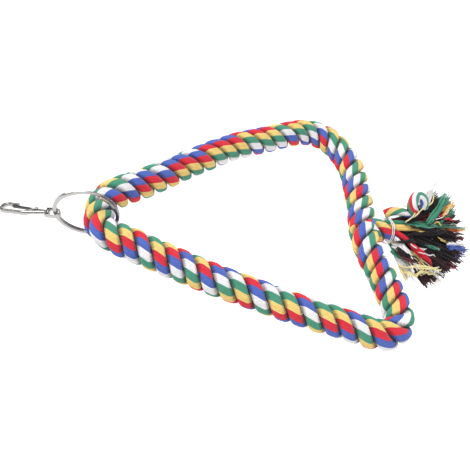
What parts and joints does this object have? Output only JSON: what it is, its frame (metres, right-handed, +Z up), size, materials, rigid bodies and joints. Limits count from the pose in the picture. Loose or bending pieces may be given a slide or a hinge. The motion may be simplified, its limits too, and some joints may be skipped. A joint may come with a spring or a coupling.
{
  "type": "bird rope swing",
  "caption": "Triangular perch swing of laid cotton rope stiffened by a wire, with a yarn tassel on the perch and a split ring and swivel snap hook at the apex to hang on a cage bar.",
  "frame": {"origin": "on the floor that the swing lies on, under the middle of its bounding box", "axes": "+X from the apex and its hook towards the perch and the tassel, along the longest extent; +Y along the perch; +Z up from the floor"},
  "size_m": [0.324, 0.1954, 0.0386],
  "materials": {
    "rope_cotton": "laid cotton strands, each of blue, red, yellow, green and white yarns side by side",
    "black_yarn": "loose black cotton yarn from the strands' cores",
    "green_yarn": "loose green cotton yarn",
    "yellow_yarn": "loose yellow cotton yarn",
    "red_yarn": "loose red cotton yarn",
    "white_yarn": "loose white cotton yarn",
    "blue_yarn": "loose blue cotton yarn",
    "white_thread": "white binding thread",
    "galvanised_wire": "galvanised steel forming wire",
    "nickel_plate": "bright nickel plate on steel",
    "spring_steel": "plain spring steel, a little darker than the plating"
  },
  "bodies": {
    "rope_frame": {"rope_strand_a": "rope_cotton", "rope_strand_b": "rope_cotton", "rope_strand_c": "rope_cotton", "core_wire": "galvanised_wire"},
    "ring": {"split_ring": "nickel_plate"},
    "bail": {"swivel_bail": "nickel_plate"},
    "hook": {"hook_body": "nickel_plate", "gate_rivet": "nickel_plate"},
    "gate": {"hook_gate": "spring_steel"},
    "tassel": {"tail_strand_a": "rope_cotton", "tail_strand_b": "rope_cotton", "tail_strand_c": "rope_cotton", "whipping_thread": "white_thread", "tassel_black_1": "black_yarn", "tassel_black_2": "black_yarn", "tassel_black_3": "black_yarn", "tassel_black_4": "black_yarn", "tassel_black_5": "black_yarn", "tassel_black_6": "black_yarn", "tassel_green_1": "green_yarn", "tassel_green_2": "green_yarn", "tassel_green_3": "green_yarn", "tassel_yellow_1": "yellow_yarn", "tassel_yellow_2": "yellow_yarn", "tassel_yellow_3": "yellow_yarn", "tassel_red_1": "red_yarn", "tassel_red_2": "red_yarn", "tassel_white_1": "white_yarn", "tassel_white_2": "white_yarn", "tassel_blue_1": "blue_yarn", "tassel_blue_2": "blue_yarn"}
  },
  "joints": [
    {"name": "ring_swing", "type": "hinge", "parent": "rope_frame", "child": "ring", "pos_m": [-0.10487, -0.01213, 0.018], "axis": [0.1564, 0.9877, 0], "range_deg": [-60, 60]},
    {"name": "bail_swing", "type": "hinge", "parent": "ring", "child": "bail", "pos_m": [-0.12962, -0.00942, 0.01372], "axis": [-0.303, 0.048, 0.9518], "range_deg": [-60, 60]},
    {"name": "hook_swivel", "type": "hinge", "parent": "bail", "child": "hook", "pos_m": [-0.13556, -0.00738, 0.01173], "axis": [-0.9014, 0.3099, -0.3025], "continuous": true},
    {"name": "gate_open", "type": "hinge", "parent": "hook", "child": "gate", "pos_m": [-0.14059, -0.00468, 0.00965], "axis": [-0.1788, 0.3699, 0.9117], "range_deg": [0, 12], "stiffness_Nm_per_rad": 0.002},
    {"name": "tassel_swing", "type": "hinge", "parent": "rope_frame", "child": "tassel", "pos_m": [0.07863, -0.00573, 0.01], "axis": [-0.1183, -0.993, 0], "range_deg": [-30, 30], "stiffness_Nm_per_rad": 0.02}
  ]
}
